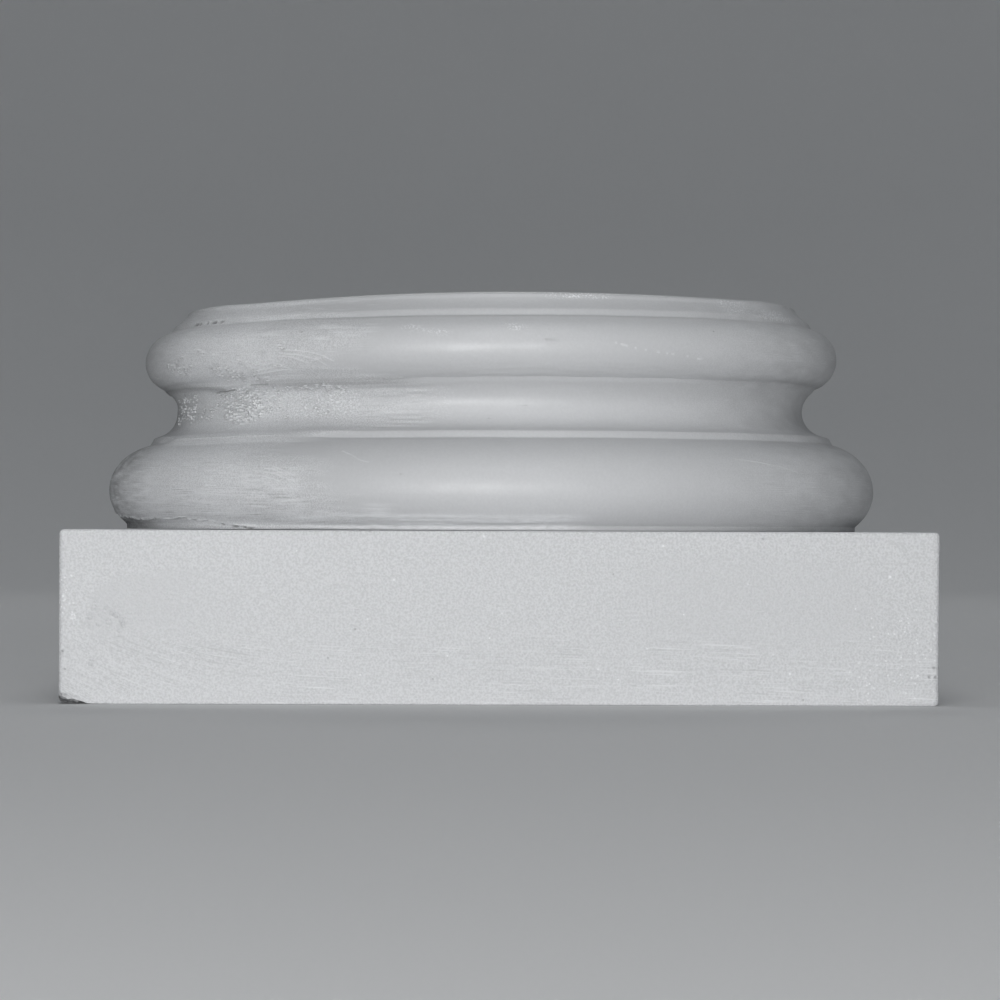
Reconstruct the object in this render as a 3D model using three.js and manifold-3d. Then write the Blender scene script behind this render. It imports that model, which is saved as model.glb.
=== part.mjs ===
import * as THREE from "three";
import { RoundedBoxGeometry } from "three/addons/geometries/RoundedBoxGeometry.js";
import { mergeVertices } from "three/addons/utils/BufferGeometryUtils.js";
import Module from "manifold-3d";

// Attic column base: a round moulding that stands on a square plinth.
// Millimetres, +Z up, origin at the middle of the underside, front face towards -Y.

// Seat and rim: the flat top that the column shaft stands on
const seatRadius = 153.2;
const rimRoundWidth = 4.8;
const rimRoundHeight = 3.7;

// Hollow flare below the rim
const flareReach = 6.7;
const flareHeight = 6.4;
const flareHollow = 0.4;

// Neck fillet: the narrow band between the flare and the upper torus
const neckFilletHeight = 3.3;
const neckFilletSlope = 2;

// Upper torus: a band of oval section
const upperTorusReach = 12.3;
const upperTorusDepth = 15;
const upperTorusHalfHeight = 14.97;
const upperTorusUndercut = 11;

// Middle fillet: the narrow band that the upper torus rests on
const middleFilletHeight = 2.2;
const middleFilletSlope = 1.8;

// Scotia: the deep hollow between the two tori
const scotiaUpperSweep = 5.1;
const scotiaDepth = 15;
const scotiaHalfHeight = 13;
const scotiaLowerSweep = 9.7;
const scotiaLipStep = 4.4;
const scotiaLipDrop = 1.3;

// Lower fillet: the band that carries the scotia
const lowerFilletHeight = 3.5;
const lowerFilletSlope = 1.9;

// Lower torus: the widest member
const lowerTorusReach = 21;
const lowerTorusDepth = 29.9;
const lowerTorusHalfHeight = 24.55;
const lowerTorusUndercut = 9.4;

// Foot: the short upright band that stands on the plinth
const footHeight = 2.2;
const footArris = 0.8;

// Plinth
const plinthHeight = 80.3;
const plinthMargin = 5.6;
const plinthArris = 2.4;
const glueLine = 0.3;

// Broken lower corner of the plinth, at the front left
const chipLength = 17;
const chipDepth = 12;
const chipHeight = 4.5;

// How finely the round forms are divided
const turnSteps = 72;
const torusSteps = 11;
const scotiaSteps = 9;
const smallArcSteps = 3;
const arrisSteps = 2;
const chipSteps = 12;

// Radii, each worked out from its neighbour, from the seat down to the plinth
const rimRadius = seatRadius + rimRoundWidth;
const neckFilletTopRadius = rimRadius + flareReach;
const neckFilletFootRadius = neckFilletTopRadius + neckFilletSlope;
const upperTorusRadius = neckFilletFootRadius + upperTorusReach;
const middleFilletTopRadius = upperTorusRadius - upperTorusUndercut;
const middleFilletFootRadius = middleFilletTopRadius - middleFilletSlope;
const waistRadius = middleFilletFootRadius - scotiaUpperSweep;
const scotiaLipRadius = waistRadius + scotiaLowerSweep;
const lowerFilletTopRadius = scotiaLipRadius + scotiaLipStep;
const lowerFilletFootRadius = lowerFilletTopRadius + lowerFilletSlope;
const lowerTorusRadius = lowerFilletFootRadius + lowerTorusReach;
const footRadius = lowerTorusRadius - lowerTorusUndercut;
const plinthWidth = 2 * (lowerTorusRadius + plinthMargin);

// Angle from the middle of an oval section to where it stands inset from its widest point
function ovalAngle(inset, depth) {
  return Math.acos(1 - inset / depth);
}

// Points along an oval section, upwards from the last point of the outline. The section's widest (side 1)
// or narrowest (side -1) radius is given, and so are the insets at which it starts and ends.
function addOval(outline, side, extremeRadius, depth, halfHeight, startInset, endInset, steps) {
  const startAngle = -ovalAngle(startInset, depth);
  const endAngle = ovalAngle(endInset, depth);
  const startHeight = outline[outline.length - 1].y;
  const centreHeight = startHeight - halfHeight * Math.sin(startAngle);
  const centreRadius = extremeRadius - side * depth;
  for (let step = 1; step <= steps; step += 1) {
    const angle = startAngle + (endAngle - startAngle) * step / steps;
    const radius = centreRadius + side * depth * Math.cos(angle);
    outline.push(new THREE.Vector2(radius, centreHeight + halfHeight * Math.sin(angle)));
  }
}

// A face that climbs from the last point of the outline
function addRise(outline, radius, height) {
  outline.push(new THREE.Vector2(radius, outline[outline.length - 1].y + height));
}

// The hollow flare: a shallow curve that dips behind the straight line between its ends, for which its
// middle handle lies twice as deep as the curve itself
function addFlare(outline, steps) {
  const start = outline[outline.length - 1].clone();
  const end = new THREE.Vector2(rimRadius, start.y + flareHeight);
  const along = end.clone().sub(start).normalize();
  const inwards = new THREE.Vector2(-along.y, along.x);
  const middle = start.clone().lerp(end, 0.5).addScaledVector(inwards, 2 * flareHollow);
  const curve = new THREE.QuadraticBezierCurve(start, middle, end);
  outline.push(...curve.getPoints(steps).slice(1));
}

// A quarter round between an upright face and a flat, upwards from the angle at which it starts
function addQuarter(outline, centreRadius, centreHeight, width, height, startAngle, steps) {
  for (let step = 0; step <= steps; step += 1) {
    const angle = startAngle + (Math.PI / 2) * step / steps;
    const radius = centreRadius + width * Math.cos(angle);
    outline.push(new THREE.Vector2(radius, centreHeight + height * Math.sin(angle)));
  }
}

// The whole outline of the round moulding, from the axis at its underside to the axis at its seat
function mouldingOutline() {
  const underside = plinthHeight + glueLine;
  const outline = [new THREE.Vector2(0, underside)];
  addQuarter(outline, footRadius - footArris, underside + footArris, footArris, footArris,
    -Math.PI / 2, arrisSteps);
  addRise(outline, footRadius, footHeight - footArris);
  addOval(outline, 1, lowerTorusRadius, lowerTorusDepth, lowerTorusHalfHeight,
    lowerTorusUndercut, lowerTorusReach, torusSteps);
  addRise(outline, lowerFilletTopRadius, lowerFilletHeight);
  addRise(outline, scotiaLipRadius, scotiaLipDrop);
  addOval(outline, -1, waistRadius, scotiaDepth, scotiaHalfHeight,
    scotiaLowerSweep, scotiaUpperSweep, scotiaSteps);
  addRise(outline, middleFilletTopRadius, middleFilletHeight);
  addOval(outline, 1, upperTorusRadius, upperTorusDepth, upperTorusHalfHeight,
    upperTorusUndercut, upperTorusReach, torusSteps);
  addRise(outline, neckFilletTopRadius, neckFilletHeight);
  addFlare(outline, smallArcSteps);
  const rimHeight = outline.pop().y;
  addQuarter(outline, seatRadius, rimHeight, rimRoundWidth, rimRoundHeight, 0, smallArcSteps);
  const seatHeight = outline[outline.length - 1].y;
  outline.push(new THREE.Vector2(0, seatHeight));
  return outline;
}

function mouldingGeometry() {
  const geometry = new THREE.LatheGeometry(mouldingOutline(), turnSteps);
  geometry.rotateX(Math.PI / 2);
  return geometry;
}

// The bite that the corner has lost: a flattened ball centred on the corner
function chipGeometry() {
  const geometry = new THREE.SphereGeometry(1, chipSteps, chipSteps / 2);
  geometry.scale(chipLength, chipDepth, chipHeight);
  geometry.translate(-plinthWidth / 2, -plinthWidth / 2, 0);
  return geometry;
}

const wasm = await Module();
wasm.setup();

// Corners closer than this are one corner
const mergeDistance = 1e-4;

// A closed solid for cutting, from a geometry with its shared corners merged
function solidOf(geometry) {
  const bare = geometry.clone();
  bare.deleteAttribute("normal");
  bare.deleteAttribute("uv");
  const merged = mergeVertices(bare, mergeDistance);
  return new wasm.Manifold(new wasm.Mesh({
    numProp: 3,
    vertProperties: new Float32Array(merged.attributes.position.array),
    triVerts: new Uint32Array(merged.index.array),
  }));
}

function geometryOf(solid) {
  const mesh = solid.getMesh();
  const geometry = new THREE.BufferGeometry();
  geometry.setAttribute("position", new THREE.BufferAttribute(mesh.vertProperties, 3));
  geometry.setIndex(new THREE.BufferAttribute(mesh.triVerts, 1));
  geometry.computeVertexNormals();
  return geometry;
}

// A square block with all its edges eased, less the bite at its corner
function plinthGeometry() {
  const slab = new RoundedBoxGeometry(plinthWidth, plinthWidth, plinthHeight, arrisSteps, plinthArris);
  slab.translate(0, 0, plinthHeight / 2);
  return geometryOf(solidOf(slab).subtract(solidOf(chipGeometry())));
}

// White moulded skins: the moulding is filled and sanded, the plinth has a fine orange peel
const mouldingSkin = new THREE.MeshStandardMaterial({ color: 0xdcdde0, roughness: 0.48, metalness: 0 });
const plinthSkin = new THREE.MeshStandardMaterial({ color: 0xdfe0e2, roughness: 0.6, metalness: 0 });

const columnBase = new THREE.Group();

const plinth = new THREE.Mesh(plinthGeometry(), plinthSkin);
plinth.name = "plinth";
columnBase.add(plinth);

const baseMoulding = new THREE.Mesh(mouldingGeometry(), mouldingSkin);
baseMoulding.name = "base_moulding";
columnBase.add(baseMoulding);

export default columnBase;
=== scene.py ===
import math

import bmesh
import bpy
import numpy as np
from mathutils import Matrix, Vector, noise
from mathutils.kdtree import KDTree


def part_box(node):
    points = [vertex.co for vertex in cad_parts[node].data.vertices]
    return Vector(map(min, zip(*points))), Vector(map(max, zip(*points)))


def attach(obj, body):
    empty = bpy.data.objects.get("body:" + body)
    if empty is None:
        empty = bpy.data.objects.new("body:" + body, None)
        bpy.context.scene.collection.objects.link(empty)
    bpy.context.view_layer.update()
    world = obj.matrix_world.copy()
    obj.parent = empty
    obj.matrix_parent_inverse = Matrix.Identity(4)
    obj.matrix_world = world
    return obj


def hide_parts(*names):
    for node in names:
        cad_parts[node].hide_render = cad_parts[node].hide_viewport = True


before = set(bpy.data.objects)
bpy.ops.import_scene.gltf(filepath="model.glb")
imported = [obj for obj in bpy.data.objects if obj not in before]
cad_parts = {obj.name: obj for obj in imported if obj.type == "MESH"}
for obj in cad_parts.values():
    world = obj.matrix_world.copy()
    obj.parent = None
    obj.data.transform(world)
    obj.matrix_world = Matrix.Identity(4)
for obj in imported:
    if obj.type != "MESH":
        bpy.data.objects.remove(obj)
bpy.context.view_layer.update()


# Plinth
# The square slab at the bottom. It is cast in white filled resin and has the fine orange peel of a
# sprayed coat. It carries the round moulding on a glue line, and its lower front left corner is broken.
mm = 0.001
plinth_low, plinth_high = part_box("plinth")
plinth_room = 0.03 * mm
plinth_size = plinth_high - plinth_low - 2 * Vector((plinth_room, plinth_room, 0))
plinth_centre = (plinth_high + plinth_low) / 2
plinth_edge = 2.4 * mm
plinth_cell = 4 * mm
plinth_front_cuts = 3
peel_depth = 0.05 * mm
peel_size = 2.8 * mm
slab_wave_depth = 0.12 * mm
slab_wave_size = 60 * mm


def only(piece):
    bpy.ops.object.select_all(action="DESELECT")
    piece.select_set(True)
    bpy.context.view_layer.objects.active = piece


def select_edges_along(piece, axis, shortest):
    """Selects, in edit mode, the edges that run along an axis and are at least so long."""
    bpy.ops.mesh.select_mode(type="EDGE")
    bpy.ops.mesh.select_all(action="DESELECT")
    shape = bmesh.from_edit_mesh(piece.data)
    for edge in shape.edges:
        run = edge.verts[1].co - edge.verts[0].co
        edge.select_set(abs(run[axis]) > 0.99 * run.length and run.length > shortest)
    bmesh.update_edit_mesh(piece.data)


def cut_finer(piece, wanted, cuts=1):
    """Cuts the faces whose centres (arrays of x, y and z) answer to wanted into smaller ones."""
    centres = np.empty(3 * len(piece.data.polygons))
    piece.data.polygons.foreach_get("center", centres)
    chosen = wanted(*centres.reshape(-1, 3).T)
    only(piece)
    bpy.ops.object.mode_set(mode="EDIT")
    bpy.ops.mesh.select_mode(type="FACE")
    bpy.ops.mesh.select_all(action="DESELECT")
    shape = bmesh.from_edit_mesh(piece.data)
    for face, is_chosen in zip(shape.faces, chosen):
        if is_chosen:
            face.select_set(True)
    bmesh.update_edit_mesh(piece.data)
    bpy.ops.mesh.subdivide(number_cuts=cuts)
    bpy.ops.object.mode_set(mode="OBJECT")


def corners(piece):
    places = np.empty(3 * len(piece.data.vertices))
    piece.data.vertices.foreach_get("co", places)
    return places.reshape(-1, 3)


def place_corners(piece, places):
    piece.data.vertices.foreach_set("co", places.ravel())
    piece.data.update()


def between(value, low, high):
    """Climbs softly from 0 at low to 1 at high."""
    share = np.clip((value - low) / (high - low), 0, 1)
    return share * share * (3 - 2 * share)


def band(value, low, low_end, high, high_end):
    """Climbs softly from 0 to 1 between two levels, and falls back to 0 between two more."""
    return between(value, low, low_end) * (1 - between(value, high, high_end))


bpy.ops.object.select_all(action="DESELECT")
bpy.ops.mesh.primitive_cube_add(size=1, location=plinth_centre, scale=plinth_size)
plinth = bpy.context.active_object
plinth.name = "plinth_slab"
bpy.ops.object.transform_apply(location=True, rotation=True, scale=True)

# All edges are eased, those along the front's top and bottom much less
easing = plinth.data.attributes.new("bevel_weight_edge", "FLOAT", "EDGE")
for edge in plinth.data.edges:
    ends = [plinth.data.vertices[i].co for i in edge.vertices]
    across_front = all(end.y < 0 for end in ends) and abs(ends[0].x - ends[1].x) > plinth_edge
    sharpness = 0.3 if ends[0].z < plinth_edge else 0.5
    easing.data[edge.index].value = sharpness if across_front else 1
bevel = plinth.modifiers.new("easing", "BEVEL")
bevel.width = plinth_edge
bevel.segments = 4
bevel.limit_method = "WEIGHT"
bpy.ops.object.modifier_apply(modifier="easing")
bpy.ops.object.mode_set(mode="EDIT")
for axis in range(3):
    select_edges_along(plinth, axis, plinth_size[axis] / 2)
    bpy.ops.mesh.subdivide(number_cuts=min(100, round(plinth_size[axis] / plinth_cell)))
bpy.ops.object.mode_set(mode="OBJECT")
plinth_front = plinth_low.y + plinth_room
cut_finer(plinth, lambda x, y, z: y < plinth_front + 0.5 * mm, plinth_front_cuts)

# The marks of the front. Grit under the coat shows near both ends, a blemish at the left has small
# worm-like lumps, and pits and specks are scattered. A mark is its place along and up the front, its
# radius and its height, all in mm; a grit zone is left, right, low, high and how many.
grit_zones = ((-203, -195, 38, 62, 22), (160, 203, 2, 46, 52), (-120, 150, 8, 78, 14))
blemish = (
    (-187.3, 44.1, 1.1, 0.2), (-188.6, 40, 1.2, 0.22), (-184.9, 36.7, 1, 0.18), (-180.4, 37.7, 1.1, 0.2),
    (-178.6, 41.8, 1, 0.24), (-181.3, 44.1, 0.9, 0.2), (-176.7, 40.5, 1, 0.26), (-174.4, 38.2, 1, 0.26),
    (-173.5, 36.3, 0.9, 0.26), (-175.3, 33.6, 0.8, 0.16), (-175.5, 31.6, 0.8, 0.14),
    (-183.4, 41, 1.2, 0.12), (-186, 47.4, 0.9, 0.12), (-190.4, 36, 1, 0.12), (-177.6, 45.4, 0.9, 0.14),
    (-188.3, 18.6, 1.1, 0.26))
pits = (
    (-79.3, 21.5, 0.5, -0.3), (-66.9, 34.8, 0.5, -0.25), (-201.2, 24.3, 0.6, -0.35), (-200, 16, 0.6, -0.25),
    (200.7, 17.7, 0.8, -0.5), (201.4, 13.5, 0.8, -0.5), (198.4, 13.5, 0.7, -0.4), (121.2, 77, 0.55, -0.25),
    (140, 2.8, 0.55, -0.25), (-31, 12, 0.45, -0.2), (52, 60.5, 0.45, -0.15))
specks = (
    (-49.1, 57.5, 0.6, 0.2), (-201, 49.6, 0.8, 0.25), (133.9, 14.7, 0.7, 0.25), (193.2, 14, 0.8, 0.3),
    (75, 73.6, 0.7, 0.2), (180.1, 59.7, 0.8, 0.2), (-7.7, 77.7, 0.7, 0.2))
marks = [*blemish, *pits, *specks]
spots = np.random.default_rng(41)
for low_x, high_x, low_z, high_z, count in grit_zones:
    for i in range(count):
        size = spots.uniform(0.36, 0.5)
        marks.append((spots.uniform(low_x, high_x), spots.uniform(low_z, high_z), size, 0.35 * size))


def is_by_mark(reach):
    """Tells which places of the front lie by one of its marks, within its radius and a reach in mm."""
    def near(x, y, z):
        found = np.zeros(x.shape, dtype=bool)
        for mark_x, mark_z, size, depth in marks:
            found |= np.hypot(x / mm - mark_x, z / mm - mark_z) < size + reach
        return found & (y < plinth_front + 0.5 * mm)
    return near


cut_finer(plinth, is_by_mark(0.9))
cut_finer(plinth, is_by_mark(0.3))

# The left side stands a little in, and the right side leans in towards the floor
left_inset = 0.35 * mm
right_lean = 0.5 * mm
places = corners(plinth)
side_share = between(places[:, 0], 0, plinth_high.x)
places[:, 0] += left_inset * between(places[:, 0], 0, plinth_low.x)
places[:, 0] -= right_lean * side_share * (1 - places[:, 2] / plinth_high.z)
place_corners(plinth, places)

skin_group = plinth.vertex_groups.new(name="skin")
for corner in plinth.data.vertices:
    upright = between(np.array(corner.co.z), 0, 6 * mm)
    on_top = between(np.array(corner.co.z), plinth_high.z - 1.5 * mm, plinth_high.z)
    skin_group.add([corner.index], float(upright * (1 - 0.9 * on_top)), "REPLACE")


def displace(piece, name, size, depth):
    """Sinks a piece's skin by up to twice a depth, in soft lumps of about that size."""
    lumps = bpy.data.textures.new(name, "CLOUDS")
    lumps.noise_scale = size
    lumps.noise_depth = 1
    modifier = piece.modifiers.new(name, "DISPLACE")
    modifier.texture = lumps
    modifier.texture_coords = "LOCAL"
    modifier.strength = 2 * depth
    modifier.mid_level = 1.0
    modifier.vertex_group = "skin"
    only(piece)
    bpy.ops.object.modifier_apply(modifier=name)


displace(plinth, "slab_wave", slab_wave_size, slab_wave_depth)
displace(plinth, "orange_peel", peel_size, peel_depth)

places = corners(plinth)
on_front = places[:, 1] < plinth_front + 0.6 * mm
front_x, front_z = places[:, 0] / mm, places[:, 2] / mm
lift = np.zeros(len(places))
bright = np.zeros(len(places))
dark = np.zeros(len(places))
for mark in marks:
    x, z, size, depth = mark
    near = on_front & (np.hypot(front_x - x, front_z - z) < 1.6 * size)
    distance = np.hypot(front_x[near] - x, front_z[near] - z) / size
    bump = np.exp(-1.6 * distance ** 2)
    lift[near] += depth * bump
    if mark in blemish:
        lift[near] -= 0.9 * depth * np.exp(-((distance - 1.25) / 0.35) ** 2)
    # Pits are painted dark: painted shade in their hollows
    if depth < 0:
        dark[near] = np.maximum(dark[near], bump)
    elif mark not in blemish:
        bright[near] = np.maximum(bright[near], bump)
places[:, 1] -= lift * mm
places[on_front, 1] = np.maximum(places[on_front, 1], plinth_low.y + 0.01 * mm)
place_corners(plinth, places)


def keep(piece, name, values):
    """Stores a value at each corner of a piece, for its finish to read."""
    layer = piece.data.attributes.new(name, "FLOAT", "POINT")
    layer.data.foreach_set("value", values.astype(np.float32))


# Two areas of the front are a little duller than the rest, the left one with a clear upper edge
upper_edge = np.interp(front_x, (-190, -186, -180, -170, -150), (47, 53, 57.5, 60.5, 63))
dull = band(front_x, -191, -187, -165, -105) * between(front_z, 22, 40)
dull *= 1 - between(front_z, upper_edge - 3, upper_edge + 1.5)
right_dull = band(front_x, 40, 90, 160, 186)
dull += 0.8 * right_dull * between(front_z, 16, 38) * (1 - between(front_z, 58, 76))
# Painted light: the top strip of the plinth along its top edge, in front of the joint, which the moulding
# shades, is lightened towards white
joint_strip_light = between(front_z, plinth_high.z / mm - 0.5, plinth_high.z / mm - 0.1)
joint_strip_light *= 1 - between(places[:, 1], plinth_front + 6 * mm, plinth_front + 9 * mm)
bright = np.maximum(bright * on_front, 0.8 * joint_strip_light)
for name, amount in (("bright", bright), ("dark", dark * on_front), ("dull", dull * on_front)):
    keep(plinth, name, np.clip(amount, 0, 1))

# Breaks: the lost corner, flat and rough, and small chips along the top edge of the front
corner_x, corner_y = plinth_low.x + plinth_room + left_inset, plinth_front
break_along, break_back, break_up = 17 * mm, 12 * mm, 4.3 * mm
break_normal = Vector((1 / break_along, 1 / break_back, 1 / break_up)).normalized()
bpy.ops.object.select_all(action="DESELECT")
bpy.ops.mesh.primitive_grid_add(x_subdivisions=90, y_subdivisions=90, size=44 * mm)
cutter = bpy.context.active_object
cutter.name = "break_cutter"
cutter.rotation_euler = break_normal.to_track_quat("Z", "Y").to_euler()
cutter.location = Vector((corner_x + break_along / 3, corner_y + break_back / 3, break_up / 3))
bpy.ops.object.transform_apply(location=True, rotation=True, scale=True)
places = corners(cutter)
rough = np.array([
    0.7 * noise.noise(Vector(place) / (3.2 * mm)) + 0.45 * noise.noise(Vector(place) / (1.3 * mm))
    + 0.7 * noise.noise(Vector(place) / (8 * mm)) for place in places])
places += np.outer(rough * mm, np.array(break_normal))
place_corners(cutter, places)
only(cutter)
bpy.ops.object.mode_set(mode="EDIT")
bpy.ops.mesh.select_all(action="SELECT")
bpy.ops.mesh.extrude_region_move(TRANSFORM_OT_translate={"value": tuple(-12 * mm * break_normal)})
bpy.ops.mesh.select_all(action="SELECT")
bpy.ops.mesh.normals_make_consistent(inside=False)
bpy.ops.object.mode_set(mode="OBJECT")


def cut_away(piece, tool):
    modifier = piece.modifiers.new("break", "BOOLEAN")
    modifier.operation = "DIFFERENCE"
    modifier.solver = "EXACT"
    modifier.object = tool
    only(piece)
    bpy.ops.object.modifier_apply(modifier="break")
    bpy.data.objects.remove(tool)


cut_away(plinth, cutter)

# Each small chip is its place along the edge and its size, in mm
top_chips = ((-66.5, 1.5), (-61, 1.3), (37.2, 1.0), (143.6, 1.2), (188, 1.6), (191.8, 1.3), (-198, 1.1))
for chip_place, chip_size in top_chips:
    bpy.ops.object.select_all(action="DESELECT")
    bpy.ops.mesh.primitive_ico_sphere_add(
        subdivisions=3, radius=1,
        location=(chip_place * mm, plinth_front + 0.1 * mm, plinth_high.z + 0.1 * mm),
        scale=(1.5 * chip_size * mm, 0.55 * chip_size * mm, 0.6 * chip_size * mm))
    nick_cutter = bpy.context.active_object
    bpy.ops.object.transform_apply(location=True, rotation=True, scale=True)
    places = corners(nick_cutter)
    ragged = np.array([list(noise.noise_vector(Vector(place) / (0.8 * mm))) for place in places])
    places += 0.25 * mm * ragged
    place_corners(nick_cutter, places)
    cut_away(plinth, nick_cutter)

# The broken faces show the coarse core of the slab, painted dark grey as painted shade, since they face down
# and get no light from below
places = corners(plinth)
depth_in_break = (places - np.array([corner_x, corner_y, 0])) @ np.array(break_normal)
break_depth = 1 / math.sqrt(1 / break_along ** 2 + 1 / break_back ** 2 + 1 / break_up ** 2)
off_faces = np.minimum(np.minimum(places[:, 0] - corner_x, places[:, 1] - corner_y), places[:, 2])
by_corner = (places[:, 0] < corner_x + 24 * mm) & (places[:, 1] < corner_y + 18 * mm)
by_corner &= places[:, 2] < 9 * mm
core = by_corner * (1 - between(np.abs(depth_in_break - break_depth), 1.2 * mm, 1.8 * mm))
core *= between(off_faces, 0.05 * mm, 0.35 * mm)
keep(plinth, "core", core)


# The plinth's finish: satin white with a fine grain, brushed along its lower third, with a few
# bright and dark specks. The pits and the break carry painted shade, and the strip in front of the joint
# painted light
def new_finish(name):
    material = bpy.data.materials.new(name)
    material.use_nodes = True
    return material


def node(material, kind):
    return material.node_tree.nodes.new("ShaderNode" + kind)


def join(material, start, end):
    material.node_tree.links.new(start, end)


def place_on(material, *sizes, turn=(0, 0, 0), unrolled=False):
    """Where the skin lies, on the piece itself or unrolled, counted in steps of some sizes in mm."""
    if unrolled:
        unrolled_map = node(material, "UVMap")
        unrolled_map.uv_map = "unrolled_skin"
        start = unrolled_map.outputs["UV"]
    else:
        start = node(material, "TexCoord").outputs["Object"]
    mapping = node(material, "Mapping")
    mapping.vector_type = "TEXTURE"
    mapping.inputs["Rotation"].default_value = turn
    mapping.inputs["Scale"].default_value = [size * mm for size in sizes]
    join(material, start, mapping.inputs["Vector"])
    return mapping.outputs["Vector"]


def cloud(material, place, detail=2.0, roughness=0.5):
    """Soft noise from 0 to 1 with lumps about one step wide."""
    texture = node(material, "TexNoise")
    texture.inputs["Scale"].default_value = 1.0
    texture.inputs["Detail"].default_value = detail
    texture.inputs["Roughness"].default_value = roughness
    join(material, place, texture.inputs["Vector"])
    return texture.outputs["Fac"]


def stretch(material, value, low, high, to_low=0.0, to_high=1.0):
    """Maps a value from low..high softly onto another range."""
    spread = node(material, "MapRange")
    spread.interpolation_type = "SMOOTHSTEP"
    join(material, value, spread.inputs["Value"])
    ends = {"From Min": low, "From Max": high, "To Min": to_low, "To Max": to_high}
    for name, end in ends.items():
        spread.inputs[name].default_value = end
    return spread.outputs["Result"]


def maths(material, operation, first, second, clamp=False):
    sum_node = node(material, "Math")
    sum_node.operation = operation
    sum_node.use_clamp = clamp
    for socket, value in zip(sum_node.inputs, (first, second)):
        if isinstance(value, (int, float)):
            socket.default_value = value
        else:
            join(material, value, socket)
    return sum_node.outputs["Value"]


def product(material, first, second):
    return maths(material, "MULTIPLY", first, second)


def blend_colour(material, share, first, second):
    mix = node(material, "Mix")
    mix.data_type = "RGBA"
    join(material, share, mix.inputs["Factor"])
    for name, colour in (("A", first), ("B", second)):
        socket = next(s for s in mix.inputs if s.name == name and s.type == "RGBA")
        if isinstance(colour, tuple):
            socket.default_value = colour
        else:
            join(material, colour, socket)
    return next(s for s in mix.outputs if s.type == "RGBA")


def grey(level):
    """The object's slightly cool white, at a given level of its green."""
    return (0.988 * level, level, 1.02 * level, 1)


def coat(material, paint, share, strength, level):
    """Lays a white of a given level over a paint, where and as thickly as a share and strength say."""
    return blend_colour(material, product(material, share, strength), paint, grey(level))


def raised(material, height, depth, before=None):
    """A bump of a given depth in mm, laid over the one before."""
    bump = node(material, "Bump")
    bump.inputs["Distance"].default_value = depth * mm
    join(material, height, bump.inputs["Height"])
    if before is not None:
        join(material, before, bump.inputs["Normal"])
    return bump.outputs["Normal"]


def known(material, name):
    """A value that the piece's own corners carry."""
    layer = node(material, "Attribute")
    layer.attribute_name = name
    return layer.outputs["Fac"]


def cover(piece, material, crease):
    """Gives a piece its finish, and smooth shading except over edges sharper than a crease in degrees."""
    piece.data.materials.clear()
    piece.data.materials.append(material)
    only(piece)
    bpy.ops.object.shade_smooth_by_angle(angle=math.radians(crease))


skin = new_finish("plinth_satin")
shader = skin.node_tree.nodes["Principled BSDF"]
shader.inputs["Specular IOR Level"].default_value = 0.5
grain = cloud(skin, place_on(skin, 1.05, 1.05, 1.05), 1.5, 0.5)
mottle = cloud(skin, place_on(skin, 26, 26, 16), 3.0, 0.5)

# Brush strokes fan out level to the right, and climb to the left in a wide arc that starts 50 mm left of
# the middle
stroke_length = 30 * mm
stroke_width = 0.75 * mm
arc_start = -0.05
arc_climb = 8.3
slant = 0.03
split = node(skin, "SeparateXYZ")
join(skin, node(skin, "TexCoord").outputs["Object"], split.inputs["Vector"])
aside = maths(skin, "MAXIMUM", maths(skin, "SUBTRACT", arc_start, split.outputs["X"]), 0.0)
climb = product(skin, maths(skin, "POWER", aside, 3.0), arc_climb)
climb = maths(skin, "SUBTRACT", climb, product(skin, split.outputs["X"], slant))
bent = node(skin, "CombineXYZ")
join(skin, maths(skin, "DIVIDE", split.outputs["X"], stroke_length), bent.inputs["X"])
join(skin, maths(skin, "DIVIDE", split.outputs["Y"], stroke_length), bent.inputs["Y"])
level = maths(skin, "SUBTRACT", split.outputs["Z"], climb)
join(skin, maths(skin, "DIVIDE", level, stroke_width), bent.inputs["Z"])
brushing = cloud(skin, bent.outputs["Vector"], 2.5, 0.6)
low_part = stretch(skin, split.outputs["Z"], 24 * mm, 38 * mm, 1.0, 0.0)
brushed = product(skin, low_part, stretch(skin, mottle, 0.38, 0.6, 0.1, 1.0))

paint = blend_colour(skin, stretch(skin, grain, 0.3, 0.7), grey(0.548), grey(0.67))
paint = coat(skin, paint, known(skin, "dull"), 0.5, 0.578)
paint = coat(skin, paint, product(skin, brushed, stretch(skin, brushing, 0.56, 0.67)), 0.85, 0.73)
paint = coat(skin, paint, product(skin, brushed, stretch(skin, brushing, 0.44, 0.31)), 0.8, 0.52)
# Lighter grit and specks, and painted light on the strip in front of the joint
paint = coat(skin, paint, known(skin, "bright"), 1.0, 0.9)
# Painted shade in the pits
paint = coat(skin, paint, known(skin, "dark"), 0.75, 0.25)
# Painted shade on the broken faces, which look down: dark grey in coarse lumps
core_lumps = cloud(skin, place_on(skin, 1.6, 1.6, 1.6), 3.0, 0.6)
break_shade_paint = blend_colour(skin, stretch(skin, core_lumps, 0.35, 0.65), grey(0.1), grey(0.42))
paint = blend_colour(skin, known(skin, "core"), paint, break_shade_paint)
join(skin, paint, shader.inputs["Base Color"])
join(skin, stretch(skin, grain, 0.2, 0.8, 0.46, 0.6), shader.inputs["Roughness"])
relief = raised(skin, grain, 0.3)
relief = raised(skin, product(skin, brushing, brushed), 0.24, relief)
join(skin, relief, shader.inputs["Normal"])
cover(plinth, skin, 40)

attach(plinth, "root")
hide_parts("plinth")


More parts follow.
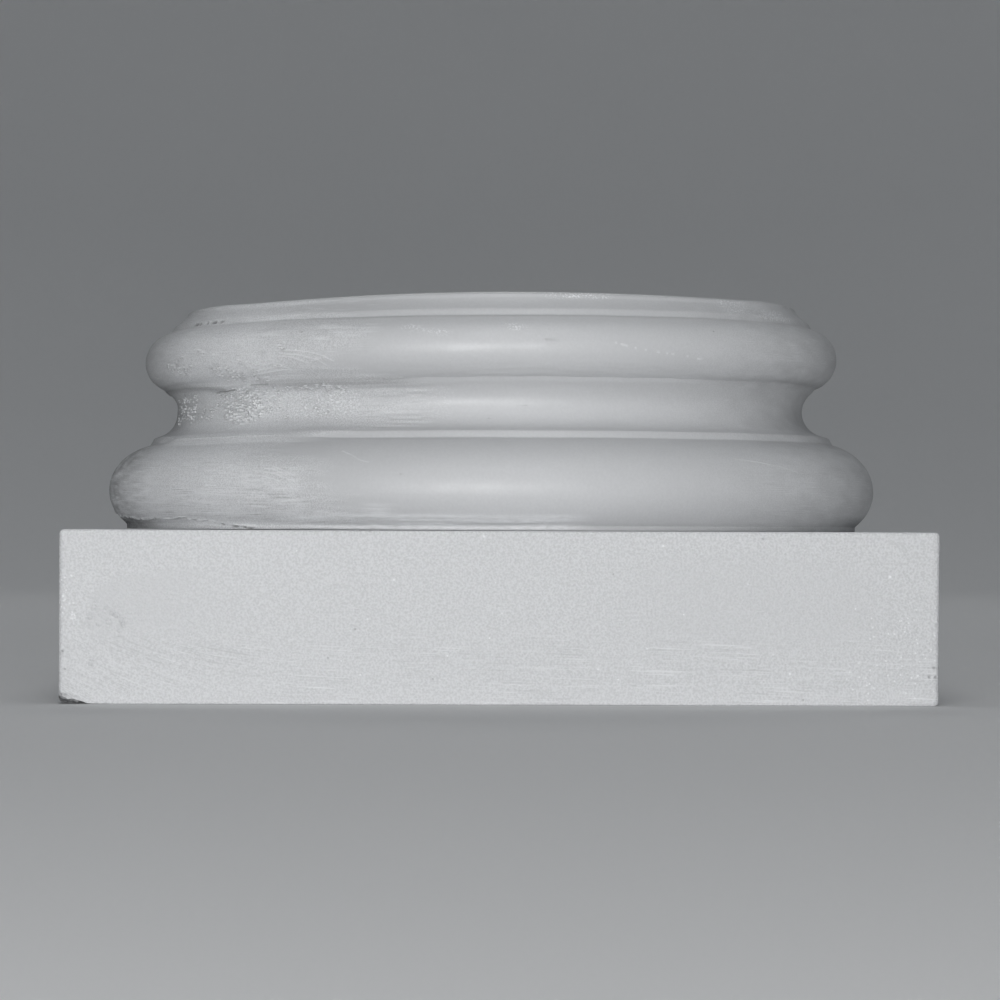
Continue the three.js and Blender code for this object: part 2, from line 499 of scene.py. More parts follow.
# Base moulding
# The round Attic moulding, moulded in one in the same white resin. It stands on the plinth on a thin
# glue line, and carries the column shaft on its flat top.
moulding_low, moulding_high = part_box("base_moulding")
seat_radius = 153.2 * mm
rim_round_width = 4.8 * mm
rim_round_height = 2.2 * mm
flare_reach = 6.7 * mm
flare_height = 6.4 * mm
flare_hollow = 0.4 * mm
neck_fillet_height = 3.3 * mm
neck_fillet_slope = 2 * mm
upper_torus_reach = 12.3 * mm
upper_torus_depth = 15 * mm
upper_torus_half_height = 14.97 * mm
upper_torus_undercut = 11 * mm
middle_fillet_height = 2.2 * mm
middle_fillet_slope = 1.8 * mm
scotia_upper_sweep = 5.1 * mm
scotia_depth = 15 * mm
scotia_half_height = 13 * mm
scotia_lower_sweep = 9.7 * mm
scotia_lip_step = 4.4 * mm
scotia_lip_drop = 1.3 * mm
lower_fillet_height = 3.5 * mm
lower_fillet_slope = 1.9 * mm
lower_torus_reach = 21 * mm
lower_torus_depth = 29.9 * mm
lower_torus_half_height = 24.55 * mm
lower_torus_undercut = 9.4 * mm
foot_height = 2.2 * mm
foot_arris = 0.3 * mm

rim_radius = seat_radius + rim_round_width
neck_fillet_top = rim_radius + flare_reach
neck_fillet_foot = neck_fillet_top + neck_fillet_slope
upper_torus_radius = neck_fillet_foot + upper_torus_reach
middle_fillet_top = upper_torus_radius - upper_torus_undercut
waist_radius = middle_fillet_top - middle_fillet_slope - scotia_upper_sweep
scotia_lip = waist_radius + scotia_lower_sweep
lower_fillet_top = scotia_lip + scotia_lip_step
lower_torus_radius = lower_fillet_top + lower_fillet_slope + lower_torus_reach
foot_radius = lower_torus_radius - lower_torus_undercut

fine_step = 0.1 * mm
flat_step = 12 * mm
seat_border = 3 * mm
merge_distance = 0.02 * mm
worn_arris = 1.0 * mm


def rise(outline, radius, height, step=fine_step):
    """A straight face from the outline's last point, out or in to a radius and up by a height."""
    start = outline[-1]
    end = (radius, start[1] + height)
    count = max(1, round(math.dist(start, end) / step))
    for i in range(1, count + 1):
        share = i / count
        outline.append((start[0] + (end[0] - start[0]) * share, start[1] + (end[1] - start[1]) * share))


def oval(outline, side, extreme, depth, half_height, start_inset, end_inset):
    """A torus (side 1) or a hollow (side -1), upwards, between two insets from its widest point."""
    start = -math.acos(1 - start_inset / depth)
    end = math.acos(1 - end_inset / depth)
    centre_height = outline[-1][1] - half_height * math.sin(start)
    count = round((end - start) * max(depth, half_height) / fine_step)
    for i in range(1, count + 1):
        angle = start + (end - start) * i / count
        radius = extreme - side * depth * (1 - math.cos(angle))
        outline.append((radius, centre_height + half_height * math.sin(angle)))


def flare(outline):
    """The hollow flare under the rim, a shallow curve that dips behind its chord."""
    start = outline[-1]
    run = (rim_radius - start[0], flare_height)
    length = math.hypot(*run)
    count = round(length / fine_step)
    for i in range(1, count + 1):
        share = i / count
        dip = 4 * flare_hollow * share * (1 - share) / length
        outline.append((start[0] + run[0] * share - run[1] * dip, start[1] + run[1] * share + run[0] * dip))


def quarter_over(outline, width, height):
    """The rounding of the rim, from its upright side over to the flat seat."""
    start = outline[-1]
    count = round((width + height) / fine_step)
    for i in range(1, count + 1):
        angle = math.pi / 2 * i / count
        outline.append((start[0] - width * (1 - math.cos(angle)), start[1] + height * math.sin(angle)))


bedding = 0.05 * mm
foot_level = plinth_high.z + bedding
outline = [(foot_radius - foot_arris, foot_level)]
rise(outline, foot_radius, foot_arris)
rise(outline, foot_radius, moulding_low.z + foot_height - outline[-1][1])
oval(outline, 1, lower_torus_radius, lower_torus_depth, lower_torus_half_height,
     lower_torus_undercut, lower_torus_reach)
rise(outline, lower_fillet_top, lower_fillet_height)
rise(outline, scotia_lip, scotia_lip_drop)
oval(outline, -1, waist_radius, scotia_depth, scotia_half_height, scotia_lower_sweep, scotia_upper_sweep)
rise(outline, middle_fillet_top, middle_fillet_height)
oval(outline, 1, upper_torus_radius, upper_torus_depth, upper_torus_half_height,
     upper_torus_undercut, upper_torus_reach)
rise(outline, neck_fillet_top, neck_fillet_height)
flare(outline)
quarter_over(outline, rim_round_width, rim_round_height)
rise(outline, seat_radius - seat_border, 0)

# Coats of paint and sanding have taken the sharpness off every arris, so the outline is averaged
# over a short length.
sharp = np.array(outline)
reach = round(worn_arris / fine_step)
padded = np.concatenate([np.repeat(sharp[:1], reach, axis=0), sharp, np.repeat(sharp[-1:], reach, axis=0)])
window = np.hanning(2 * reach + 3)[1:-1]
window /= window.sum()
skin_line = np.stack([np.convolve(padded[:, k], window, mode="valid") for k in range(2)], axis=1)

# Rows of the mesh lie closer together where the outline turns
row_height = 1.9 * mm
row_turn = math.radians(18)
runs = np.diff(skin_line, axis=0)
lengths = np.hypot(runs[:, 0], runs[:, 1])
headings = np.unwrap(np.arctan2(runs[:, 1], runs[:, 0]))
turns = np.abs(np.diff(headings, prepend=headings[0]))
measure = np.concatenate([[0], np.cumsum(lengths / row_height + turns / row_turn)])
along = np.concatenate([[0], np.cumsum(lengths)])
row_places = np.linspace(0, measure[-1], round(measure[-1]) + 1)
rows = np.stack([np.interp(row_places, measure, skin_line[:, k]) for k in range(2)], axis=1)

seat = [(rows[-1][0], rows[-1][1])]
rise(seat, 0, 0, flat_step)
underside = [(0, foot_level)]
rise(underside, rows[0][0], 0, 3 * flat_step)
full_rows = underside[:-1] + [tuple(row) for row in rows] + seat[1:]

# The outline is drawn out point by point at the left of the moulding and spun round the axis, in
# short steps where the front is worn and filled, and in longer ones behind. Each sector is its angle in
# degrees and its steps.
bpy.ops.object.select_all(action="DESELECT")
bpy.ops.mesh.primitive_plane_add(size=mm, location=(0, 0, full_rows[0][1]))
moulding = bpy.context.active_object
moulding.name = "moulding_body"
bpy.ops.object.transform_apply(location=True, rotation=True, scale=True)
bpy.ops.object.mode_set(mode="EDIT")
bpy.ops.mesh.select_mode(type="VERT")
bpy.ops.mesh.select_all(action="SELECT")
bpy.ops.mesh.merge(type="CENTER")
for before, after in zip(full_rows, full_rows[1:]):
    step = (before[0] - after[0], 0, after[1] - before[1])
    bpy.ops.mesh.extrude_region_move(TRANSFORM_OT_translate={"value": step})
bpy.ops.mesh.select_all(action="SELECT")
for sector, steps in ((75, 125), (105, 130), (180, 78)):
    bpy.ops.mesh.spin(steps=steps, angle=math.radians(sector), center=(0, 0, 0), axis=(0, 0, 1))
bpy.ops.mesh.select_all(action="SELECT")
bpy.ops.mesh.remove_doubles(threshold=merge_distance)
bpy.ops.mesh.normals_make_consistent(inside=False)
bpy.ops.object.mode_set(mode="OBJECT")


def skin_place(turn, height):
    """Where a place lies on the unrolled skin, in mm: round from the front, and up along the outline."""
    return np.radians(turn) * middle_radius, np.interp(height, skin_line[:, 1] / mm, along / mm)


def from_stroke(turn, height, stroke):
    """How far, in mm along the skin, places lie from a stroke through some (turn, height) places."""
    u, v = skin_place(turn, height)
    nearest = np.full(np.shape(u), np.inf)
    ends = [skin_place(*place) for place in stroke]
    for (u0, v0), (u1, v1) in zip(ends, ends[1:]):
        length = max(1e-6, math.hypot(u1 - u0, v1 - v0))
        share = np.clip(((u - u0) * (u1 - u0) + (v - v0) * (v1 - v0)) / length ** 2, 0, 1)
        nearest = np.minimum(nearest, np.hypot(u - u0 - share * (u1 - u0), v - v0 - share * (v1 - v0)))
    return nearest


middle_radius = 180
seat_level = skin_line[-1, 1]

# Strokes of the filler knife, scratches and cracks, each as (degrees from the front, mm up)
crack = [(-57, 148.6), (-55.3, 149.2), (-53.1, 149.3), (-50.5, 150)]
undercut_line = [(-45.6, 152.2), (-43.6, 152.3), (-41.3, 152.4)]
filler_ridge = [(-47.5, 135.2), (-48.6, 132.3), (-50.4, 130.5), (-53.3, 128.8)]
swirls = [
    [(-36.4, 167.1), (-33.2, 166.8), (-30.2, 165.7), (-27.7, 163.5), (-26.3, 161.1)],
    [(-35.6, 165.5), (-31.7, 164.3), (-28.8, 161.8), (-27.5, 158.9)],
    [(-41.6, 161.2), (-39, 162.9), (-36.8, 162.6), (-37.6, 161), (-40.4, 159.8)],
    [(-41.9, 157.7), (-38.7, 158.8), (-36, 159.3), (-34.5, 158.4)],
    [(-41.3, 156.3), (-38.1, 157.3), (-35, 157.8)],
    [(-37.7, 164.5), (-33.6, 163.7), (-30.8, 160.6)],
    [(-32.9, 110.3), (-31, 108.3), (-29.2, 105.8)],
    [(-36.4, 108.8), (-33.8, 107.8), (-31.1, 105.4), (-29.1, 103.2)],
    [(-37.7, 106.9), (-34.5, 105.9), (-31.3, 103.2)],
    [(-35.3, 109.9), (-33.1, 109.2), (-31.5, 107.5)],
    [(-22.8, 117.6), (-21.1, 115.6), (-19.7, 113.2), (-18.4, 112.2)],
    [(35.8, 114.8), (39.8, 113.6), (44.2, 111.6), (47.7, 108.9)],
]
dotted_scratch = [(15.6, 170.4), (18.7, 168.1), (21.8, 165.9), (25.8, 164.3), (29.9, 163.2), (32.8, 161.8)]
pinholes = [(6.9, 170.2), (4.7, 139.9), (-1.8, 133.6), (-13.6, 106.5), (5.9, 84.1), (6.7, 82.2),
            (-30.7, 95.2)]
# The line of a band of painted shade in the buried hollow under the upper torus at the left
hollow_shade_line = [(-84, 153), (-66, 152.6), (-58, 151.2), (-53.5, 150.2)]
foot_edge = np.array([(-90, 89.3), (-77.8, 86.3), (-72.3, 85.9), (-64.3, 84.9), (-52.4, 85.4), (-49.1, 84.6),
                      (-46.1, 83.4), (-41.5, 82.1), (-37.9, 80.8), (-34, 80.4)])


# Blisters that foamed up in the filler of the hollow and under the torus, in short worm-like rows. A zone
# is left, right, low, high, how many, and the largest one's radius in mm.
blister_rng = np.random.default_rng(7)
blister_zones = (
    (-82, -64.6, 145.5, 149.6, 36, 0.7), (-80, -63.7, 135.8, 144.1, 66, 0.9),
    (-63.5, -58.6, 135.1, 141.3, 22, 0.75), (-59.2, -54.3, 138.9, 143.9, 22, 0.65),
    (-57.1, -51, 145.4, 148.4, 26, 0.65), (-54.2, -45, 133.2, 144.3, 128, 0.95),
    (-51.3, -45.9, 144.3, 151, 46, 0.75), (-46.5, -39.9, 137.9, 150.5, 62, 0.65),
    (-43.5, -25.5, 148.7, 150.7, 62, 0.5), (-40, -27, 133.4, 148.4, 42, 0.45),
    (-65.6, -55.1, 157.5, 166.1, 26, 0.55), (-51.1, -45.7, 154.7, 160.6, 36, 0.6),
    (-54.5, -32.3, 154.7, 170.2, 50, 0.42), (-46.3, -40.1, 153.7, 158.1, 26, 0.5))
blisters = []
for left, right, low, high, count, largest in blister_zones:
    wanted = len(blisters) + count
    for attempt in range(9 * count):
        if len(blisters) >= wanted:
            break
        spot = (blister_rng.uniform(left, right), blister_rng.uniform(low, high))
        u, v = skin_place(*spot)
        heading = blister_rng.uniform(0, 2 * math.pi)
        for i in range(blister_rng.integers(1, 5)):
            size = 0.33 + (largest - 0.33) * blister_rng.random()
            if all(math.hypot(u - a, v - b) > 0.95 * (size + c) for a, b, c in blisters):
                blisters.append((u, v, size))
            u += 1.9 * size * math.cos(heading)
            v += 1.9 * size * math.sin(heading)
            heading += blister_rng.normal(0, 0.7)
blister_tree = KDTree(len(blisters))
for i, (u, v, size) in enumerate(blisters):
    blister_tree.insert((u, v, 0), i)
blister_tree.balance()


def cut_side(wanted):
    """Cuts finer the faces of the moulding's side whose turn and height answer to wanted."""
    def chosen(x, y, z):
        return wanted(np.degrees(np.arctan2(x, -y)), z / mm) & (np.hypot(x, y) > 0.15)
    cut_finer(moulding, chosen)


def is_within(turn, height, boxes):
    """Tells which places lie in any of some boxes, each as left, right, low and high."""
    found = np.zeros(turn.shape, dtype=bool)
    for left, right, low, high in boxes:
        found |= (turn > left) & (turn < right) & (height > low) & (height < high)
    return found


def is_foamed_part(turn, height):
    edge_part = (turn > -78) & (turn < -36) & (np.abs(height - np.interp(turn, *foot_edge.T)) < 1.8)
    return is_within(turn, height, foamed_boxes) | edge_part


def is_blister(turn, height):
    close = is_within(turn, height, [(-84, -7, 132, 171)])
    for i in np.flatnonzero(close):
        u, v = skin_place(turn[i], height[i])
        spot, nearest_blister, distance = blister_tree.find((u, v, 0))
        close[i] = distance < blisters[nearest_blister][2] + 0.12
    return close


def is_marked_part(turn, height):
    near = from_stroke(turn, height, crack) < 1.2
    near |= from_stroke(turn, height, undercut_line) < 1.0
    near |= from_stroke(turn, height, filler_ridge) < 1.0
    near |= from_stroke(turn, height, [(-64, 162.5), (-58.5, 156)]) < 2.2
    near |= from_stroke(turn, height, [(-65, 183.6), (-54, 183.9)]) < 1.2
    return near


def is_by_stroke(turn, height, strokes, reach):
    """Tells which places lie within a reach in mm of any of some strokes."""
    found = np.zeros(turn.shape, dtype=bool)
    for stroke in strokes:
        found |= from_stroke(turn, height, stroke) < reach
    return found


filled_boxes = ((-82, -16, 80.33, 186), (-16, -7, 130, 151), (-82, 70, 150.5, 160))
foamed_boxes = ((-84, -25, 133, 153), (-25, -8, 132, 150), (-66, -38, 153, 163), (-30, 13, 81, 89))
near_strokes = [*(stroke for stroke in swirls if stroke[0][0] < 0), [pinholes[-1]] * 2]
far_strokes = [dotted_scratch, swirls[-1], *([hole, hole] for hole in pinholes[:-1])]
cut_side(lambda turn, height: is_within(turn, height, filled_boxes))
cut_side(lambda turn, height: is_foamed_part(turn, height) | is_by_stroke(turn, height, near_strokes, 1.7))
cut_side(lambda turn, height: is_blister(turn, height) | is_marked_part(turn, height)
         | is_by_stroke(turn, height, near_strokes, 0.8))
for reach in (3.6, 2.1, 1.1):
    cut_side(lambda turn, height: is_by_stroke(turn, height, far_strokes, reach))

# New corners come back onto the true round, and each learns how far up the outline it lies and which
# way its skin faces
places = corners(moulding)
turn, height = np.degrees(np.arctan2(places[:, 0], -places[:, 1])), places[:, 2] / mm
radius = np.hypot(places[:, 0], places[:, 1])
on_skin = (radius > skin_line[-1, 0] + 0.01 * mm) | (radius > skin_line[0, 0]) & (places[:, 2] < 0.12)
on_skin &= ~((places[:, 2] < foot_level + 0.01 * mm) & (radius < skin_line[0, 0] + 0.01 * mm))
tree = KDTree(len(skin_line))
for i, (line_radius, line_height) in enumerate(skin_line):
    tree.insert((line_radius, line_height, 0), i)
tree.balance()
nearest = np.array([tree.find((r, z, 0))[1] for r, z in zip(radius, places[:, 2])])
tangent = np.gradient(skin_line, axis=0)
tangent /= np.hypot(*tangent.T)[:, None]
up_skin = np.where(on_skin, along[nearest] / mm, 0)
round_skin = np.radians(turn) * middle_radius
true_radius = np.where(on_skin, skin_line[nearest, 0], radius)
true_height = np.where(on_skin, skin_line[nearest, 1], places[:, 2])
out_radius = np.where(on_skin, tangent[nearest, 1], 0)
out_height = np.where(on_skin, -tangent[nearest, 0], 0)


def zone(left, right, low, high, soft_turn, soft_height):
    """1 inside a patch of the skin, falling softly to 0 outside it."""
    inside = between(turn, left - soft_turn, left + soft_turn)
    inside *= 1 - between(turn, right - soft_turn, right + soft_turn)
    inside *= between(height, low - soft_height, low + soft_height)
    return inside * (1 - between(height, high - soft_height, high + soft_height))


def blotches(u_size, v_size, seed):
    """Soft random blotches from -1 to 1, of a size in mm round (u) and up (v) the unrolled skin."""
    cells = 211
    grid = np.random.default_rng(seed).uniform(-1, 1, (cells, cells))
    column, row = round_skin / u_size, up_skin / v_size
    i, j = np.floor(column).astype(int), np.floor(row).astype(int)
    across, up = column - i, row - j
    across, up = across * across * (3 - 2 * across), up * up * (3 - 2 * up)
    i, j, next_i, next_j = i % cells, j % cells, (i + 1) % cells, (j + 1) % cells
    low = grid[i, j] * (1 - across) + grid[next_i, j] * across
    high = grid[i, next_j] * (1 - across) + grid[next_i, next_j] * across
    return low * (1 - up) + high * up


def trace(stroke, width):
    """1 along a stroke, falling off softly over a width in mm."""
    return np.exp(-(from_stroke(turn, height, stroke) / width) ** 2)


# The height of blotches that don't change up the skin
endless = math.inf

# Broad unevenness of a hand-finished turning, all round
broad = np.array([
    noise.noise(Vector(place) / (48 * mm)) + 0.35 * noise.noise(Vector(place) / (17 * mm))
    for place in places])
lift = 0.2 * broad

# The filler skim over the left of the front, thickest in the hollow, with a ragged right edge
ragged = 3.2 * blotches(9, 1.6, 11) + 4 * blotches(40, 9, 12)
skim_end = np.interp(height, (79, 88, 104, 118, 124, 130, 152, 160, 176, 184, 195),
                     (-20, -24, -27, -34, -34, -20, -18, -30, -22, -30, -34))
filled = between(turn, -128, -100) * (1 - between(turn + ragged, skim_end - 3, skim_end + 5))
thickness = np.interp(height, (80, 84, 100, 118, 126, 134, 150, 156, 166, 182, 194),
                      (0.1, 0.15, 0.15, 0.15, 0.25, 0.7, 0.7, 0.3, 0.2, 0.15, 0.1))
lift += thickness * filled

# The moulding isn't quite round: at its left it is narrower low down and swells in the hollow
far_left = band(turn, -165, -110, -70, -15)
lift += far_left * np.interp(height, (80, 100, 120, 128, 136, 141, 146, 152, 158, 170, 185, 194),
                            (0.1, -0.6, -0.8, -0.8, 0.7, 1.1, 0.2, -0.4, 0.2, 0.2, -0.3, -0.2))
lift += filled * 0.055 * blotches(30, 2.2, 13)
lift += filled * 0.05 * blotches(7, 3.1, 14)

# At the left the skim buries both fillets under smooth slanting coves, each given by heights, radii and
# the most that it may add
far_cove = between(turn, -140, -112) * (1 - between(turn + 0.25 * (height - 152), -55, -49.5))
near_cove = band(turn, -60, -49, -24, -9)
low_cove = band(turn, -69, -62, -37, -24)
for buried, heights, radii, most in (
        (far_cove, (147, 150.8, 153, 155.2, 157.5), (0, 166.7, 169.2, 171.7, 0), 2.2),
        (near_cove, (148.3, 148.4, 155.5, 155.6), (0, 163.5, 173, 0), 2.6),
        (low_cove, (118, 121.5, 124.1, 127.4, 128.6), (0, 183.6, 179.6, 175.5, 0), 3)):
    lift += buried * np.clip(np.interp(height, heights, radii) - true_radius / mm, 0, most)

# Low lumps under the upper torus, where the paint sagged
sagged = zone(-22, 66, 151.8, 158.5, 6, 1)
lift += 0.16 * sagged * blotches(2.6, 1.6, 51)
lift += 0.1 * sagged * blotches(1.3, 1.1, 52)

# At the foot the skim stops above the plinth in a torn edge, and below it the foot is bare and smooth
edge_height = np.interp(turn, *foot_edge.T) + 0.45 * blotches(2.4, endless, 15)
edge_height += 0.3 * blotches(1.0, endless, 16)
edge_share = band(turn, -92, -80, -38, -33)
below_edge = edge_share * (1 - between(height, edge_height - 0.5, edge_height + 0.1)) * (height < 95)
lift -= 0.8 * below_edge
edge_bead = edge_share * np.exp(-((height - edge_height - 0.45) / 0.42) ** 2)
edge_crumb = np.clip(0.4 + 1.5 * blotches(1.1, 1.2, 17), 0, 1)
lift += 0.75 * edge_bead * edge_crumb
edge_pit = edge_share * np.exp(-((height - edge_height + 0.25) / 0.4) ** 2)
edge_pit *= blotches(1.5, endless, 53) > 0.3
lift -= 0.7 * edge_pit

# Chalky leftovers of filler: along the foot, in streaks above it, and on the rim
foot_streaks = zone(-31, 11, 80.6, 87.6, 3.5, 0.8)
foot_band = 0.55 + 0.9 * blotches(34, 1.15, 18) + 0.35 * blotches(3.2, 0.9, 19)
foot_chalk = foot_streaks * np.clip(foot_band, 0, 1)
lift += 0.22 * foot_chalk

# The blisters, steep little domes. Their tops are painted near-white as painted highlights, and the skin
# round them is painted darker as painted shade, the more so where they crowd
domes = np.zeros(turn.shape)
foamed = np.zeros(turn.shape)
bead_glints = np.zeros(turn.shape)
hollow_band = np.flatnonzero((turn > -86) & (turn < -5) & (height > 130) & (height < 172))
for i in hollow_band:
    for spot, nearest_blister, distance in blister_tree.find_range((round_skin[i], up_skin[i], 0), 2.2):
        size = blisters[nearest_blister][2]
        round_share = max(0, 1 - (distance / size) ** 2)
        domes[i] = max(domes[i], 1.0 * size * math.sqrt(round_share))
        bead_glints[i] = max(bead_glints[i], min(1, 1.8 * round_share))
        foamed[i] += 0.3 * (1 - min(1, max(0, distance - size) / 1.1))
lift += domes

# Single marks
chalk = 0.75 * foot_chalk + 1.6 * edge_bead * edge_crumb
shadow = 1.1 * edge_pit
cleft = trace(crack, 0.34)
lift -= 0.9 * cleft
shadow += cleft
cleft = trace(undercut_line, 0.6)
lift -= 1.4 * cleft
shadow += 1.2 * cleft
ridge = trace(filler_ridge, 0.55)
lift += 0.3 * ridge
chalk += 0.6 * ridge
for stroke in swirls:
    line = trace(stroke, 0.3)
    lift += 0.1 * line
    chalk += 0.8 * line * (0.7 + 0.5 * blotches(5, endless, 57))
line = trace(dotted_scratch, 0.5)
dotted = line * (blotches(1.7, endless, 21) > 0.25)
chalk += 0.9 * dotted
lift += 0.08 * dotted

# Nicks and lumps, each as turn, height, radius and depth in mm; a lump's depth is negative
for mark_turn, mark_height, size, depth in (
        (-62.5, 162.9, 0.95, 0.9), (-61.8, 161.4, 0.7, -0.3), (-63.6, 160.8, 0.7, 0.4),
        (-60.4, 158.8, 0.8, 0.5), (-59.2, 157.3, 0.8, -0.35), (-64, 158.1, 0.8, -0.3),
        (-49.1, 150.2, 1.0, -0.45), (-47.3, 151.2, 0.9, -0.4)):
    pit = trace([(mark_turn, mark_height)] * 2, size)
    lift -= depth * pit
    shadow += 0.5 * pit * (depth > 0)
    chalk += 0.8 * pit * (depth < 0)
for hole in pinholes:
    pit = trace([hole, hole], 0.42)
    lift -= 0.2 * pit
    shadow += 0.3 * pit
neck_pits = zone(-65, -54, 183.1, 184.5, 0.8, 0.3)
pit = neck_pits * (blotches(0.9, endless, 22) > 0.1)
lift -= 0.6 * pit
shadow += 0.9 * pit

# Patches and smears where filler dried on the surface: where, how long and how wide, and their seed
for *where, length, width, seed in (
        (-33.3, -19.2, 171.1, 178.5, 8, 0.9, 38), (-47.5, -34.3, 170.6, 178.7, 10, 0.9, 39),
        (-43.1, -33.1, 154.3, 161.5, 6, 0.9, 40), (-38.9, -28.9, 100.5, 109.6, 7, 1.0, 41),
        (-60, -28, 87.3, 100.3, 16, 0.9, 42), (-30, -15, 87.8, 92.8, 9, 1.1, 43),
        (-79.6, -55.9, 87, 109.2, 9, 1.2, 44), (-52.6, -44.5, 133.5, 138.1, 1.6, 1.1, 45)):
    patch = zone(*where, 1.2, 1.0) * np.clip(0.15 + 0.95 * blotches(length, width, seed), 0, 1)
    chalk += 0.7 * patch
    lift += 0.08 * patch

# Dust and crumbs, as where and how strongly
dusty = np.zeros(turn.shape)
for *where, strength in (
        (-14.8, -13.1, 175.9, 177.6, 0.8), (-10.8, -8.8, 172.8, 175.1, 0.8), (-13.7, -9.7, 174.2, 175.5, 0.5),
        (1.3, 2.8, 174.7, 177.6, 0.8), (8.8, 19.8, 191.1, 195.4, 0.9), (43.3, 50.5, 185.8, 193.1, 0.8),
        (-46, -28, 83, 112, 0.25), (51, 64.1, 183.2, 189.1, 0.8), (-46, -24, 134, 148, 0.5),
        (-26, -8, 133, 149, 0.15), (-66, -40, 156, 176, 0.3)):
    dusty = np.maximum(dusty, strength * zone(*where, 0.9, 0.8))

# The filler is whiter than the bare resin, and the left side is dirty. The tone also falls to its darkest
# towards the left and right sides, as painted shade where the skin turns away from the lamps
tone_turn = turn + 0.6 * ragged * (turn < 20)
tone_turns = (-140, -108, -87, -77, -68, -60, -44, -34, -24, -8, 4, 46, 60, 74, 88, 110, 140)
tones = (1, 0.78, 0.53, 0.71, 0.9, 1.06, 1.1, 0.95, 0.92, 0.95, 0.99, 0.99, 0.94, 0.82, 0.67, 0.82, 1)
tone = np.interp(tone_turn, tone_turns, tones)
# Painted shade along the buried hollow under the upper torus at the left
tone -= 0.36 * trace(hollow_shade_line, 3.0)
# Painted shade and light, each as strength, left, right, low, high and softness of turn and height: shade
# under the upper torus, on the foot at the far left, on the foot along the front, under the torus at the
# right and in the upper hollow; light on the foot at the left and in the lower hollow
for strength, *where in (
        (-0.16, -44, -14, 150.8, 154, 3, 0.4), (-0.16, -88, -62, 80.4, 85.5, 3, 0.6),
        (0.14, -52, -32, 80.4, 84, 3, 0.6), (0.04, -24, 40, 132, 141, 6, 2), (-0.06, -24, 60, 143, 151, 6, 2),
        (-0.14, -24, 60, 79, 83.4, 6, 1), (-0.08, 36, 70, 151, 154.5, 6, 1)):
    tone += strength * zone(*where)
side_dirt = band(turn, -96, -84, -72, -62) * (height < 122)
tone -= 0.07 * side_dirt
tone += side_dirt * (0.17 * blotches(7, 2.6, 55) + 0.12 * blotches(3, 1.2, 56))

sanded = np.maximum(filled, 0.5 * band(turn, 16, 50, 100, 130))
# Blotchy dirt at the right side
right_dirt_and_crease_shade = band(turn, 24, 60, 96, 120)
tone += right_dirt_and_crease_shade * (0.06 * blotches(9, 3.4, 61) + 0.05 * blotches(4, 2.6, 62))
# Painted shade in the three creases at the right
for low, high, soft_height in ((181, 184.4, 0.8), (151.4, 155, 1), (121, 124.6, 0.8)):
    tone -= 0.07 * right_dirt_and_crease_shade * zone(0, 110, low, high, 4, soft_height)

# How strongly each part is streaked by the filler knife and the brush
streaked = np.zeros(turn.shape)
for strength, *where in (
        (1, -84, -26, 83, 100, 4, 2), (0.55, -84, -27, 100, 116, 4, 3), (0.4, -70, -22, 164, 182, 5, 2),
        (0.55, -78, -22, 182, 194, 5, 1), (0.35, 40, 80, 84, 112, 8, 4), (0.35, 42, 85, 162, 182, 6, 3)):
    streaked += strength * zone(*where)
streaked = np.clip(streaked, 0, 1)
lift += streaked * 0.045 * blotches(15, 0.9, 54)

# The seat was cut a little out of level, and its rim is worn low to both sides of the middle
worn_rim = np.interp(turn, (-110, -75, -60, -50, -38, -22, 0, 12, 27, 40, 50, 58),
                     (0, -0.4, -0.9, -1.5, -1.3, -0.5, 0, -0.2, -0.5, -0.7, -0.6, 0))
worn_rim *= between(places[:, 2], 187 * mm, 192.5 * mm) * between(radius, 95 * mm, 145 * mm)
seat_tilt = np.interp(true_height / mm, (100, 120, 141, 164, 196), (-0.0009, 0.002, 0.0045, 0.0085, 0.0091))
lift *= on_skin * between(true_height, foot_level, foot_level + 1.2 * mm)
lift *= 1 - 0.8 * between(true_height, seat_level - 1.5 * mm, seat_level)
new_radius = true_radius + lift * mm * out_radius
new_height = true_height + lift * mm * out_height
direction = np.radians(turn)
places = np.stack([new_radius * np.sin(direction), -new_radius * np.cos(direction), new_height], axis=1)
places[:, 2] += seat_tilt * places[:, 0] + worn_rim * mm
place_corners(moulding, places)

only(moulding)
bpy.ops.object.mode_set(mode="EDIT")
bpy.ops.mesh.select_all(action="DESELECT")
bpy.ops.mesh.select_face_by_sides(number=4, type="GREATER")
bpy.ops.mesh.quads_convert_to_tris(quad_method="BEAUTY", ngon_method="BEAUTY")
bpy.ops.object.mode_set(mode="OBJECT")

# What the finish has to know: where the skin is filled, blistered, chalky or in shadow, with painted
# highlights on the blister tops and painted shade between them
for name, amount in (
        ("filled", filled), ("sanded", sanded), ("foamed", foamed), ("bead_glints", bead_glints), ("streaked", streaked),
        ("chalk", chalk), ("shadow", shadow), ("dusty", dusty)):
    keep(moulding, name, np.clip(amount * on_skin, 0, 1))
keep(moulding, "tone", np.where(on_skin, tone, 1))

# The skin unrolled, for the streaks that run round it
loop_corner = np.empty(len(moulding.data.loops), dtype=np.int32)
moulding.data.loops.foreach_get("vertex_index", loop_corner)
face_size = np.empty(len(moulding.data.polygons), dtype=np.int32)
moulding.data.polygons.foreach_get("loop_total", face_size)
first_turn = np.repeat(turn[loop_corner[np.cumsum(face_size) - face_size]], face_size)
loop_turn = first_turn + (turn[loop_corner] - first_turn + 180) % 360 - 180
unrolled = moulding.data.uv_layers.new(name="unrolled_skin")
flat_places = np.stack([np.radians(loop_turn) * middle_radius * mm, up_skin[loop_corner] * mm], axis=1)
unrolled.data.foreach_set("uv", flat_places.ravel().astype(np.float32))
